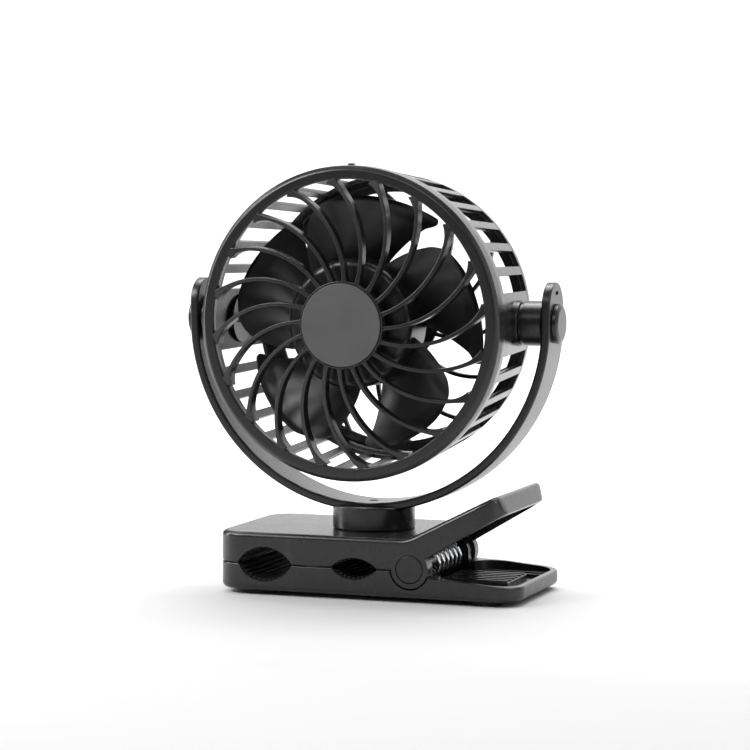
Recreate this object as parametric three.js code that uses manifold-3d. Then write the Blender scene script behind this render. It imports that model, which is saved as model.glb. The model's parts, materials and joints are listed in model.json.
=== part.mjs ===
// A clip-on desk fan. A sprung two-jaw clip stands on four rubber feet and carries a swivelling U-shaped
// yoke, and the fan head tilts between the yoke's arms. Units are millimetres, +Z is up, the fan blows
// towards -Y, the jaws open towards -X and the squeeze handle points to +X. The table is at z = 0.

import * as THREE from "three";
import { mergeVertices } from "three/addons/utils/BufferGeometryUtils.js";
import Module from "manifold-3d";

const wasm = await Module();
wasm.setup();

// ---------------------------------------------------------------- driving dimensions
const GAP = 0.3; // clearance between neighbouring pieces

// head, measured from the point where the tilt axis crosses the fan's axis
const PIVOT_HEIGHT = 140; // tilt axis above the table
const HEAD_R = 80; // outer radius of the front ring
const RIM_INNER_R = 73;
const RIM_FRONT = -40.5;
const RIM_BACK = -31.2;
const LIP = 4; // thickness of the rim's face
const HOUSING_BACK_R = 75.1;
const HOUSING_BACK = 36;
const WALL = 2.4;
const RIB_COUNT = 20;
const REAR_RIB_COUNT = 12;
const RIB_PHASE = 7.2; // degrees, where the first rib meets the rim
const RIB_SWEEP = 28.5; // degrees between a rib's two ends
const RIB_BOW = 8.6; // how far a rib's middle stands off its chord
const HUB_CAP_R = 21.5;
const HUB_FRONT = -49;
const SLAT_PITCH = 10; // degrees
const SLAT_OPEN = 6.5; // degrees of each pitch that are open
const SLAT_FRONT = -24;
const SLAT_BACK = 27;
const BOSS_R = 11.5;
const BOSS_END = 80.4;

// impeller
const BLADES = 5;
const BLADE_TIP_R = 65;
const BLADE_FRONT = -30;
const BLADE_DEPTH = 20;
const FAN_HUB_R = 33;
const FAN_HUB_FRONT = -38.5;

// motor
const MOTOR_R = 15;
const MOTOR_FRONT = -10;
const MOTOR_BACK = 24;

// yoke
const YOKE_INNER_R = 93.7;
const YOKE_OUTER_R = 98.2;
const YOKE_HALF_DEPTH = 13;
const ARM_TOP = 21; // above the tilt axis
const CAP_R = 10.2;
const CAP_FACE = 101.2;

// swivel column
const COLUMN_R = 21.4;
const COLUMN_TOP = 44.6;
const SPIGOT_R = 7.5;

// clip
const CLIP_TOP = 32.3;
const CLIP_BOTTOM = 2.4;
const PARTING = 16.3;
const CLIP_HALF_W = 42;
const CLIP_CORNER = 14; // plan radius of the clip's corners
const JAW_TIP = -72.5;
const TRAY_END = 90.5;
const SIDE_WALL = 2.6;
const TOP_WALL = 2.6;
const HINGE_X = 33.9;
const HINGE_Z = 17.2;
const BARREL_R = 9.8;
const RECESS_R = 10.6;
const PIN_R = 2.5;
const HINGE_CAP_R = 7;
const HANDLE_START = 32.4;
const HANDLE_SLOPE = Math.tan(THREE.MathUtils.degToRad(27));
const HANDLE_TIP = 78.6; // upper edge of the handle's end face
const HANDLE_END = 82.2; // its lower edge
const FOOT_R = 9;
const FEET = [
  [-52, -29],
  [-52, 29],
  [71, -29],
  [71, 29],
];
const GROOVES = {
  large: { x: -44.6, half: 14.9, up: 8.6, down: 8.8 },
  small: { x: 4.2, half: 12.4, up: 5.2, down: 5.6 },
};
const RIDGE_PITCH = 2.7;
const SEAT_DEPTH = 2.2; // the grip pads lie this deep behind the grooves' edges
const COVER_THICK = 1.6;
const BAY_END = 21.6; // the upper jaw's electronics bay ends here

// controls in the upper jaw's back wall
const BUTTON = { x: -22.5, z: 23.6, r: 4.2 };
const PORT = { x: -12.8, z: 22.6, w: 9.4, h: 3.6 };
const LED = { x: -12.8, z: 27.4, r: 1 };

// the group's origin is the middle of the footprint of the whole fan
const Y_SHIFT = 3.2;

// ---------------------------------------------------------------- colours
const satin = { color: 0x1b1b1c, roughness: 0.42, metalness: 0 };
const FINISH = {
  black_plastic: satin,
  hub_plastic: { color: 0x2a2a2b, roughness: 0.6, metalness: 0 },
  blade_plastic: { color: 0x151516, roughness: 0.38, metalness: 0 },
  rubber: { color: 0x0d0d0d, roughness: 0.85, metalness: 0 },
  spring_steel: { color: 0xc9ccd0, roughness: 0.2, metalness: 1 },
  steel: { color: 0x9a9da1, roughness: 0.35, metalness: 1 },
  nylon: { color: 0xd8d6cc, roughness: 0.55, metalness: 0 },
  battery_foil: { color: 0xa8b0b6, roughness: 0.4, metalness: 0.6 },
  board_green: { color: 0x1d5a35, roughness: 0.5, metalness: 0 },
  button_plastic: { color: 0x2f3032, roughness: 0.45, metalness: 0 },
  led_lens: { color: 0xcfd8dc, roughness: 0.25, metalness: 0 },
};
const MATERIALS = Object.fromEntries(
  Object.entries(FINISH).map(([name, look]) => [name, new THREE.MeshStandardMaterial({ name, ...look })]),
);

// ---------------------------------------------------------------- geometry helpers
const rad = THREE.MathUtils.degToRad;
const v2 = (x, y) => new THREE.Vector2(x, y);

// A closed geometry as a manifold-3d solid with its faces pointing out.
function solid(geometry) {
  const bare = new THREE.BufferGeometry();
  bare.setAttribute("position", geometry.getAttribute("position"));
  if (geometry.index) bare.setIndex(geometry.index);
  const merged = mergeVertices(bare, 1e-4);
  const index = merged.index.array;
  const kept = [];
  for (let i = 0; i < index.length; i += 3) {
    const [a, b, c] = [index[i], index[i + 1], index[i + 2]];
    if (a !== b && b !== c && a !== c) kept.push(a, b, c);
  }
  const vertProperties = new Float32Array(merged.attributes.position.array);
  const made = (tris) =>
    new wasm.Manifold(new wasm.Mesh({ numProp: 3, vertProperties, triVerts: new Uint32Array(tris) }));
  const first = made(kept);
  if (first.volume() > 0) return first;
  for (let i = 0; i < kept.length; i += 3) [kept[i], kept[i + 1]] = [kept[i + 1], kept[i]];
  return made(kept);
}

// A solid as a geometry that three.js draws.
function geometryOf(body) {
  const mesh = body.getMesh();
  const places = new Float32Array(mesh.numVert * 3);
  for (let i = 0; i < mesh.numVert; i++) {
    places.set(mesh.vertProperties.subarray(i * mesh.numProp, i * mesh.numProp + 3), i * 3);
  }
  const indexed = new THREE.BufferGeometry();
  indexed.setAttribute("position", new THREE.BufferAttribute(places, 3));
  indexed.setIndex(new THREE.BufferAttribute(new Uint32Array(mesh.triVerts), 1));
  const geometry = indexed.toNonIndexed();
  geometry.computeVertexNormals();
  return geometry;
}

const join = (first, ...rest) => rest.reduce((sum, part) => sum.add(part), first);
const cut = (first, ...rest) => rest.reduce((left, part) => left.subtract(part), first);

// An outline whose corners [x, y, radius] are rounded by arcs of the given radius.
function rounded(turns, steps = 5) {
  const points = [];
  turns.forEach(([x, y, radius = 0], i) => {
    const here = v2(x, y);
    if (!radius) {
      points.push(here);
      return;
    }
    const before = turns[(i + turns.length - 1) % turns.length];
    const after = turns[(i + 1) % turns.length];
    const back = v2(before[0] - x, before[1] - y).normalize();
    const on = v2(after[0] - x, after[1] - y).normalize();
    const half = Math.acos(THREE.MathUtils.clamp(back.dot(on), -1, 1)) / 2;
    const centre = back.clone().add(on).normalize().multiplyScalar(radius / Math.sin(half)).add(here);
    const start = back.clone().multiplyScalar(radius / Math.tan(half)).add(here);
    const from = Math.atan2(start.y - centre.y, start.x - centre.x);
    let turn = Math.PI - 2 * half;
    if (back.cross(on) > 0) turn = -turn;
    for (let s = 0; s <= steps; s++) {
      const a = from + (turn * s) / steps;
      points.push(v2(centre.x + radius * Math.cos(a), centre.y + radius * Math.sin(a)));
    }
  });
  return points;
}

// Points as plain corners for an outline.
const corners = (points) => points.map((p) => [p.x, p.y]);

// Points on an arc, angles in degrees.
function arc(cx, cy, radius, from, to, steps) {
  return Array.from({ length: steps + 1 }, (_, s) => {
    const a = rad(from + ((to - from) * s) / steps);
    return v2(cx + radius * Math.cos(a), cy + radius * Math.sin(a));
  });
}

// A side profile in x and z, extruded between two values of y.
function sideSlab(points, yFrom, yTo) {
  const depth = yTo - yFrom;
  const geometry = new THREE.ExtrudeGeometry(new THREE.Shape(points), { depth, bevelEnabled: false });
  return solid(geometry.rotateX(Math.PI / 2).translate(0, yTo, 0));
}

// A plan outline in x and y, extruded between two heights.
function planSlab(points, zFrom, zTo) {
  const depth = zTo - zFrom;
  const geometry = new THREE.ExtrudeGeometry(new THREE.Shape(points), { depth, bevelEnabled: false });
  return solid(geometry.translate(0, 0, zFrom));
}

// A profile of [radius, distance along the axis] turned about the Y, Z or X axis.
function turned(profile, axis = "y", segments = 48) {
  const points = profile.map(([r, h]) => v2(r, h));
  const touches = profile[0][0] === 0 && profile[profile.length - 1][0] === 0;
  if (!touches) points.push(points[0].clone());
  const geometry = new THREE.LatheGeometry(points, segments);
  if (axis === "z") geometry.rotateX(Math.PI / 2);
  if (axis === "x") geometry.rotateZ(-Math.PI / 2);
  return solid(geometry);
}

const rod = (radius, from, to, axis, segments) =>
  turned([[0, from], [radius, from], [radius, to], [0, to]], axis, segments);
const tube = (inner, outer, from, to, axis, segments) =>
  turned([[inner, from], [outer, from], [outer, to], [inner, to]], axis, segments);
const block = (x, y, z, w, d, h) => solid(new THREE.BoxGeometry(w, d, h).translate(x, y, z));

// A closed skin over a row of rings that all have the same number of points.
function loft(rings) {
  const n = rings[0].length;
  const places = rings.flat().flatMap((p) => [p.x, p.y, p.z]);
  const index = [];
  for (let r = 0; r + 1 < rings.length; r++) {
    for (let i = 0; i < n; i++) {
      const [a, b] = [r * n + i, r * n + ((i + 1) % n)];
      index.push(a, b, b + n, a, b + n, a + n);
    }
  }
  const last = (rings.length - 1) * n;
  // a flat strip of triangles closes each end between its two long sides
  for (let i = 0; i + 1 < n / 2; i++) {
    const [a, b] = [i, i + 1];
    const [c, d] = [n - 2 - i, n - 1 - i];
    index.push(a, d, c, a, c, b);
    index.push(last + a, last + c, last + d, last + a, last + b, last + c);
  }
  const geometry = new THREE.BufferGeometry();
  geometry.setAttribute("position", new THREE.Float32BufferAttribute(places, 3));
  geometry.setIndex(index);
  return solid(geometry);
}

const turnAbout = (body, axis, degrees) =>
  body.rotate(axis === "x" ? degrees : 0, axis === "y" ? degrees : 0, axis === "z" ? degrees : 0);

function mesh(name, finish, body) {
  const made = new THREE.Mesh(geometryOf(body), MATERIALS[finish]);
  made.name = name;
  return made;
}

// ---------------------------------------------------------------- head
// A point of a curved rib: an arc in the x, z plane from the hub to the rim.
function ribPoint(share, innerR, outerR, offset) {
  const start = v2(innerR, 0);
  const end = v2(outerR, 0).rotateAround(v2(0, 0), rad(RIB_SWEEP));
  const chord = end.clone().sub(start);
  const half = chord.length() / 2;
  const radius = (half * half + RIB_BOW * RIB_BOW) / (2 * RIB_BOW);
  const side = v2(chord.y, -chord.x).normalize();
  const centre = start.clone().add(end).multiplyScalar(0.5).addScaledVector(side, RIB_BOW - radius);
  const from = start.clone().sub(centre).angle();
  let swing = end.clone().sub(centre).angle() - from;
  if (swing < -Math.PI) swing += 2 * Math.PI;
  const a = from + swing * share;
  return v2(centre.x + (radius + offset) * Math.cos(a), centre.y + (radius + offset) * Math.sin(a));
}

function ribs(count, phase, innerR, outerR, steps, front, back, halfWidth) {
  const rings = Array.from({ length: steps + 1 }, (_, s) => {
    const t = s / steps;
    const outside = ribPoint(t, innerR, outerR, halfWidth(t));
    const inside = ribPoint(t, innerR, outerR, -halfWidth(t));
    return [
      new THREE.Vector3(outside.x, front(t), outside.y),
      new THREE.Vector3(inside.x, front(t), inside.y),
      new THREE.Vector3(inside.x, back(t), inside.y),
      new THREE.Vector3(outside.x, back(t), outside.y),
    ];
  });
  const one = loft(rings);
  // a turn by +a about the y axis carries x towards -z, so the rim end needs minus its own angle
  return Array.from({ length: count }, (_, i) =>
    turnAbout(one, "y", -(phase - RIB_SWEEP + (360 / count) * i)),
  );
}

function frontGrille() {
  const ring = turned(
    [
      [RIM_INNER_R, RIM_FRONT],
      [HEAD_R - 1.6, RIM_FRONT],
      [HEAD_R - 0.5, RIM_FRONT + 0.8],
      [HEAD_R, RIM_FRONT + 2.2],
      [HEAD_R, RIM_BACK],
      [HEAD_R - WALL, RIM_BACK],
      [HEAD_R - WALL, RIM_FRONT + LIP],
      [RIM_INNER_R, RIM_FRONT + LIP],
    ],
    "y",
    48,
  );
  const hub = turned(
    [
      [0, HUB_FRONT + 1.6],
      [HUB_CAP_R - 0.2, HUB_FRONT + 1.6],
      [HUB_CAP_R - 0.2, HUB_FRONT],
      [HUB_CAP_R + 0.6, HUB_FRONT],
      [HUB_CAP_R + 0.6, HUB_FRONT + 5.5],
      [HUB_CAP_R - 1.4, HUB_FRONT + 5.5],
      [HUB_CAP_R - 1.4, HUB_FRONT + 3.2],
      [0, HUB_FRONT + 3.2],
    ],
    "y",
    24,
  );
  const front = (t) => HUB_FRONT + 0.7 + (RIM_FRONT - HUB_FRONT - 0.4) * t ** 1.5;
  const back = (t) => front(t) + 5 + 2.4 * t;
  const halfWidth = (t) => 1 + 1.3 * Math.max(0, (t - 0.85) / 0.15);
  const bars = ribs(RIB_COUNT, RIB_PHASE, HUB_CAP_R, RIM_INNER_R + 1, 5, front, back, halfWidth);
  const latch = block(0, RIM_BACK - 2, HEAD_R, 3.2, 3, 2);
  return join(ring, hub, latch, ...bars);
}

function hubCap() {
  const r = HUB_CAP_R - 0.5;
  return turned(
    [
      [0, HUB_FRONT + 1.6 - GAP],
      [r, HUB_FRONT + 1.6 - GAP],
      [r, HUB_FRONT - 0.3],
      [r - 0.5, HUB_FRONT - 0.6],
      [0, HUB_FRONT - 0.6],
    ],
    "y",
    24,
  );
}

function rearHousing() {
  const front = RIM_BACK + GAP;
  const frontR = HEAD_R - 0.2;
  const shell = turned(
    [
      [frontR - WALL, front],
      [frontR, front],
      [HOUSING_BACK_R, HOUSING_BACK - 5],
      [HOUSING_BACK_R - 1.4, HOUSING_BACK - 1.6],
      [HOUSING_BACK_R - 4.4, HOUSING_BACK],
      [66, HOUSING_BACK],
      [66, HOUSING_BACK - WALL],
      [HOUSING_BACK_R - 4.4, HOUSING_BACK - WALL],
      [HOUSING_BACK_R - WALL, HOUSING_BACK - 5],
    ],
    "y",
    360 / SLAT_PITCH,
  );
  const slot = block(
    78,
    (SLAT_FRONT + SLAT_BACK) / 2,
    0,
    12,
    SLAT_BACK - SLAT_FRONT,
    2 * 77 * Math.tan(rad(SLAT_OPEN / 2)),
  );
  const slots = [];
  for (let a = SLAT_PITCH / 2; a < 360; a += SLAT_PITCH) {
    const fromSide = Math.min(a % 180, 180 - (a % 180));
    if (fromSide > SLAT_PITCH) slots.push(turnAbout(slot, "y", a));
  }
  const motorSeat = turned(
    [
      [MOTOR_R + GAP, 6],
      [MOTOR_R + GAP + 2.2, 6],
      [MOTOR_R + GAP + 2.2, HOUSING_BACK - 4],
      [24, HOUSING_BACK - 3],
      [24, HOUSING_BACK],
      [0, HOUSING_BACK],
      [0, HOUSING_BACK - 2.4],
      [MOTOR_R + GAP, HOUSING_BACK - 2.4],
    ],
    "y",
    28,
  );
  const spokes = ribs(
    REAR_RIB_COUNT,
    RIB_PHASE,
    22,
    67,
    4,
    () => HOUSING_BACK - 3.4,
    () => HOUSING_BACK - 0.4,
    () => 1.1,
  );
  let body = join(cut(shell, ...slots), motorSeat, ...spokes);
  for (const side of [-1, 1]) {
    const boss = rod(BOSS_R, side * 73.5, side * BOSS_END, "x", 28);
    const bore = rod(PIN_R + GAP, side * 60, side * 90, "x", 14);
    body = cut(join(body, boss), bore);
  }
  return body;
}

function motorCan() {
  return turned(
    [
      [3.2, MOTOR_FRONT],
      [MOTOR_R - 1, MOTOR_FRONT],
      [MOTOR_R, MOTOR_FRONT + 1],
      [MOTOR_R, MOTOR_BACK],
      [MOTOR_R - 1.2, MOTOR_BACK],
      [MOTOR_R - 1.2, MOTOR_FRONT + 1.4],
      [3.2, MOTOR_FRONT + 1.4],
    ],
    "y",
    24,
  );
}

function motorEndCap() {
  const from = MOTOR_BACK + GAP;
  return turned([[3.2, from], [MOTOR_R, from], [MOTOR_R, from + 4.5], [3.2, from + 4.5]], "y", 24);
}

// ---------------------------------------------------------------- impeller
// Both edges of a blade sweep back as they go out; its left edge stands in front of its right edge.
function blade() {
  // each station is a radius, the angle of the left edge and the angle the blade spans there
  const stations = [
    [FAN_HUB_R - 1.6, -13, 59],
    [46, -24, 55],
    [57, -32, 52],
    [62.5, -38, 51],
    [BLADE_TIP_R, -46, 45],
  ];
  const chordSteps = 5;
  const halfThick = 0.75;
  const rings = stations.map(([r, lead, width]) => {
    const side = (lift) =>
      Array.from({ length: chordSteps + 1 }, (_, i) => {
        const t = i / chordSteps;
        const a = rad(lead - width * t);
        const y = BLADE_FRONT + BLADE_DEPTH * t - 2.2 * Math.sin(Math.PI * t) + lift;
        return new THREE.Vector3(r * Math.cos(a), y, r * Math.sin(a));
      });
    return [...side(-halfThick), ...side(halfThick).reverse()];
  });
  return loft(rings);
}

function impeller() {
  const back = FAN_HUB_FRONT + 26;
  const hub = turned(
    [
      [2, FAN_HUB_FRONT],
      [FAN_HUB_R - 5, FAN_HUB_FRONT],
      [FAN_HUB_R - 1.5, FAN_HUB_FRONT + 1.3],
      [FAN_HUB_R, FAN_HUB_FRONT + 4.5],
      [FAN_HUB_R, back],
      [FAN_HUB_R - 2, back],
      [FAN_HUB_R - 2, FAN_HUB_FRONT + 4.5],
      [FAN_HUB_R - 4, FAN_HUB_FRONT + 2.6],
      [6, FAN_HUB_FRONT + 2.6],
      [6, FAN_HUB_FRONT + 15],
      [2, FAN_HUB_FRONT + 15],
    ],
    "y",
    28,
  );
  const one = blade();
  const blades = Array.from({ length: BLADES }, (_, i) => turnAbout(one, "y", (360 / BLADES) * i));
  return join(hub, ...blades);
}

// ---------------------------------------------------------------- yoke
function yokeOutline(inner, outer) {
  return [
    v2(outer, ARM_TOP),
    v2(inner, ARM_TOP),
    ...arc(0, 0, inner, 0, -180, 36),
    v2(-inner, ARM_TOP),
    v2(-outer, ARM_TOP),
    ...arc(0, 0, outer, 180, 360, 36),
  ];
}

function yokeFrame() {
  const band = sideSlab(yokeOutline(YOKE_INNER_R, YOKE_OUTER_R), -YOKE_HALF_DEPTH, YOKE_HALF_DEPTH);
  const h = YOKE_HALF_DEPTH;
  const arms = new THREE.Shape(
    rounded([[-h, -120], [h, -120], [h, ARM_TOP, h - 0.02], [-h, ARM_TOP, h - 0.02]], 7),
  );
  const long = new THREE.ExtrudeGeometry(arms, { depth: 240, bevelEnabled: false });
  // the shape's x becomes y, its y becomes z and the extrusion runs along x
  long.applyMatrix4(
    new THREE.Matrix4().makeBasis(
      new THREE.Vector3(0, 1, 0),
      new THREE.Vector3(0, 0, 1),
      new THREE.Vector3(1, 0, 0),
    ),
  );
  let body = band.intersect(solid(long.translate(-120, 0, 0)));
  for (const side of [-1, 1]) {
    const screwHole = rod(PIN_R + GAP, side * 90, side * 105, "x", 14);
    const slot = block(side * YOKE_OUTER_R, 0, 15.6, 1.6, 5, 1.8);
    body = cut(body, screwHole, slot);
  }
  return cut(body, rod(2.5, -110, -80, "z", 12));
}

function pivotSpacer(side) {
  const from = BOSS_END + GAP;
  const to = YOKE_INNER_R - 1; // clear of the yoke's inner wall where it starts to curve in
  return turned(
    [
      [PIN_R + GAP, side * from],
      [BOSS_R - 0.9, side * from],
      [BOSS_R - 0.9, side * (from + 1.2)],
      [BOSS_R, side * (from + 1.6)],
      [BOSS_R, side * to],
      [PIN_R + GAP, side * to],
    ],
    "x",
    28,
  );
}

function tiltScrew(side) {
  return turned(
    [
      [0, side * 66],
      [PIN_R, side * 66],
      [PIN_R, side * (YOKE_OUTER_R + GAP)],
      [5, side * (YOKE_OUTER_R + GAP)],
      [5, side * (YOKE_OUTER_R + 1.5)],
      [0, side * (YOKE_OUTER_R + 1.5)],
    ],
    "x",
    14,
  );
}

function yokeCap(side) {
  const seat = YOKE_OUTER_R + GAP;
  return turned(
    [
      [0, side * CAP_FACE],
      [CAP_R - 3, side * CAP_FACE],
      [CAP_R - 0.6, side * (CAP_FACE - 0.7)],
      [CAP_R, side * (CAP_FACE - 1.6)],
      [CAP_R, side * seat],
      [5.6, side * seat],
      [5.6, side * (YOKE_OUTER_R + 1.9)],
      [0, side * (YOKE_OUTER_R + 1.9)],
    ],
    "x",
    28,
  );
}

function swivelColumn() {
  const body = turned(
    [
      [3, CLIP_TOP - 2.2],
      [SPIGOT_R, CLIP_TOP - 2.2],
      [SPIGOT_R, CLIP_TOP + 1.8],
      [COLUMN_R - 3, CLIP_TOP + 1.8],
      [COLUMN_R - 3, CLIP_TOP + GAP],
      [COLUMN_R - 0.5, CLIP_TOP + GAP],
      [COLUMN_R, CLIP_TOP + 0.9],
      [COLUMN_R, COLUMN_TOP - 0.7],
      [COLUMN_R - 0.7, COLUMN_TOP],
      [3, COLUMN_TOP],
    ],
    "z",
    30,
  );
  const seat = rod(YOKE_OUTER_R + GAP, -YOKE_HALF_DEPTH - GAP, YOKE_HALF_DEPTH + GAP, "y", 48);
  return cut(body, seat.translate(0, 0, PIVOT_HEIGHT));
}

// ---------------------------------------------------------------- clip
const handleTop = (x) => CLIP_TOP + (x - HANDLE_START) * HANDLE_SLOPE;

// One side of an oval groove, above (sign 1) or below (sign -1) the parting line: the groove's own arc
// moved outwards by `offset`, and ended `trim` away from the parting line.
function bow(groove, sign, offset, trim, steps) {
  const height = sign > 0 ? groove.up : groove.down;
  const radius = (groove.half * groove.half + height * height) / (2 * height);
  const drop = radius - height;
  const reach = THREE.MathUtils.radToDeg(Math.acos((drop + trim) / (radius + offset)));
  const middle = sign * 90;
  return arc(
    groove.x,
    PARTING - sign * drop,
    radius + offset,
    middle + sign * reach,
    middle - sign * reach,
    steps,
  );
}

function plan(xFrom, xTo, halfW, radius, steps = 4) {
  return rounded(
    [[xFrom, -halfW, radius], [xTo, -halfW, radius], [xTo, halfW, radius], [xFrom, halfW, radius]],
    steps,
  );
}

function upperJaw() {
  const under = PARTING + GAP / 2;
  const outline = rounded(
    [
      [JAW_TIP, under],
      ...corners(bow(GROOVES.large, 1, 0, GAP / 2, 8)),
      ...corners(bow(GROOVES.small, 1, 0, GAP / 2, 6)),
      ...corners(arc(HINGE_X, HINGE_Z, BARREL_R, 184, 392, 12)),
      [HANDLE_END, 46.2, 2],
      [HANDLE_TIP, handleTop(HANDLE_TIP), 2.5],
      [HANDLE_START, CLIP_TOP, 18],
      [JAW_TIP, CLIP_TOP, 0.8],
    ],
    4,
  );
  const footprint = plan(JAW_TIP, HANDLE_END, CLIP_HALF_W, CLIP_CORNER);
  const body = sideSlab(outline, -CLIP_HALF_W, CLIP_HALF_W).intersect(planSlab(footprint, 0, 80));
  const inside = CLIP_HALF_W - SIDE_WALL;
  const bay = planSlab(plan(JAW_TIP + SIDE_WALL, BAY_END, inside, 8), 5, CLIP_TOP - TOP_WALL);
  const springBay = sideSlab(
    [v2(23.5, 0), v2(23.5, 29), v2(32.2, 29), v2(76, 51.3), v2(80, 42), v2(80, 0)],
    -inside,
    inside,
  );
  const rimmed = springBay.intersect(planSlab(plan(15, HANDLE_END - 2.8, inside, 13), 0, 80));
  let shell = cut(body, bay, rimmed);
  for (const side of [-1, 1]) {
    const [a, b] = [side * 36, side * (CLIP_HALF_W - 1)].sort((p, q) => p - q);
    shell = join(shell, rod(BARREL_R, a, b, "y", 24).translate(HINGE_X, 0, HINGE_Z));
    const [c, d] = [side * (CLIP_HALF_W - 2), side * (CLIP_HALF_W + 1)].sort((p, q) => p - q);
    shell = cut(shell, rod(HINGE_CAP_R + GAP, c, d, "y", 24).translate(HINGE_X, 0, HINGE_Z));
  }
  shell = cut(shell, rod(PIN_R + GAP, -60, 60, "y", 14).translate(HINGE_X, 0, HINGE_Z));
  shell = cut(shell, rod(SPIGOT_R + GAP, 20, 50, "z", 24));
  const back = CLIP_HALF_W;
  const buttonHole = rod(BUTTON.r + GAP, back - 5, back + 5, "y", 20).translate(BUTTON.x, 0, BUTTON.z);
  const ledHole = rod(LED.r + GAP, back - 5, back + 5, "y", 12).translate(LED.x, 0, LED.z);
  const port = block(PORT.x, back, PORT.z, PORT.w, 12, PORT.h);
  return cut(shell, buttonHole, ledHole, port);
}

// The jaw's inner cover follows the parting line and the two grooves from above.
function jawCover() {
  const inside = CLIP_HALF_W - SIDE_WALL - GAP;
  const left = JAW_TIP + SIDE_WALL + GAP;
  const right = BAY_END - GAP;
  const face = (offset, trim) => [
    v2(left, PARTING + trim),
    ...bow(GROOVES.large, 1, offset, trim, 8),
    ...bow(GROOVES.small, 1, offset, trim, 6),
    v2(right, PARTING + trim),
  ];
  const under = face(SEAT_DEPTH, 0.9);
  const over = face(SEAT_DEPTH + COVER_THICK, 0.9 + COVER_THICK).reverse();
  const slab = sideSlab([...under, ...over], -inside, inside);
  return slab.intersect(planSlab(plan(left, right, inside, 7.7), 0, 60));
}

// A rubber strip with ridges along y, bent into a groove.
function gripPad(groove, sign) {
  const teeth = 2 * Math.round(groove.half / RIDGE_PITCH) * 2;
  const outer = bow(groove, sign, SEAT_DEPTH - GAP, 1, teeth / 2);
  const valleys = bow(groove, sign, 0.7, 1, teeth);
  const tips = bow(groove, sign, -0.5, 1, teeth);
  const ridged = valleys.map((p, i) => (i % 2 ? tips[i] : p));
  const half = CLIP_HALF_W - SIDE_WALL - 2;
  return sideSlab([...outer, ...ridged.reverse()], -half, half);
}

function lowerJaw() {
  const over = PARTING - GAP / 2;
  const outline = [
    v2(JAW_TIP, over),
    v2(JAW_TIP, CLIP_BOTTOM + 3.4),
    v2(JAW_TIP + 1.6, CLIP_BOTTOM + 1),
    v2(JAW_TIP + 4, CLIP_BOTTOM),
    v2(TRAY_END - 4, CLIP_BOTTOM),
    v2(TRAY_END - 1.6, CLIP_BOTTOM + 1),
    v2(TRAY_END, CLIP_BOTTOM + 3.4),
    v2(TRAY_END, 10),
    v2(75, 10.9),
    v2(60, 12.3),
    ...arc(HINGE_X, HINGE_Z, RECESS_R, 333, 187, 10),
    ...bow(GROOVES.small, -1, 0, GAP / 2, 6).reverse(),
    ...bow(GROOVES.large, -1, 0, GAP / 2, 8).reverse(),
  ];
  const footprint = plan(JAW_TIP, TRAY_END, CLIP_HALF_W, CLIP_CORNER);
  let body = sideSlab(outline, -CLIP_HALF_W, CLIP_HALF_W).intersect(planSlab(footprint, 0, 40));
  const inside = CLIP_HALF_W - SIDE_WALL;
  // pad seats, the tray and the underside
  for (const groove of Object.values(GROOVES)) {
    const seat = [...bow(groove, -1, SEAT_DEPTH, 0, 8), v2(groove.x, PARTING + 3)];
    body = cut(body, sideSlab(seat, -inside, inside));
  }
  const tray = planSlab(plan(45.4, TRAY_END - 3, inside - 0.6, 13), 6.4, 30);
  const springRoom = block(43, 0, 16.4, 10, 58, 20);
  const underside = planSlab(plan(-68, 86, 37.5, 12), 0, CLIP_BOTTOM + 2);
  const weightPocket = block(-18.5, 0, 8, 17, 70, 10);
  body = cut(body, tray, springRoom, underside, weightPocket);
  const raised = block(60, 0, 7.5, 36, 34, 3.6);
  const panelRibs = [-14.4, -8.6, -2.9, 2.9, 8.6, 14.4].map((y) => block(60, y, 9.2, 35, 2.2, 1.6));
  const trayRibs = [-33, -25, 25, 33].map((y) => block(65, y, 7, 38, 1.6, 2.4));
  body = join(body, raised, ...panelRibs, ...trayRibs);
  const recess = rod(RECESS_R, -60, 60, "y", 24).translate(HINGE_X, 0, HINGE_Z);
  body = cut(body, recess);
  for (const side of [-1, 1]) {
    const [a, b] = [side * 29.5, side * 35.7].sort((p, q) => p - q);
    const foot = [v2(HINGE_X - 9, 5), v2(HINGE_X + 9, 5), v2(HINGE_X + 8, 17), v2(HINGE_X - 8, 17)];
    body = join(body, sideSlab(foot, a, b), rod(8.2, a, b, "y", 20).translate(HINGE_X, 0, HINGE_Z));
  }
  return cut(body, rod(PIN_R + GAP, -60, 60, "y", 14).translate(HINGE_X, 0, HINGE_Z));
}

function basePlate() {
  const plate = planSlab(plan(-68 + GAP, 86 - GAP, 37.5 - GAP, 11.7), CLIP_BOTTOM, CLIP_BOTTOM + 2 - GAP);
  return plate;
}

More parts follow.
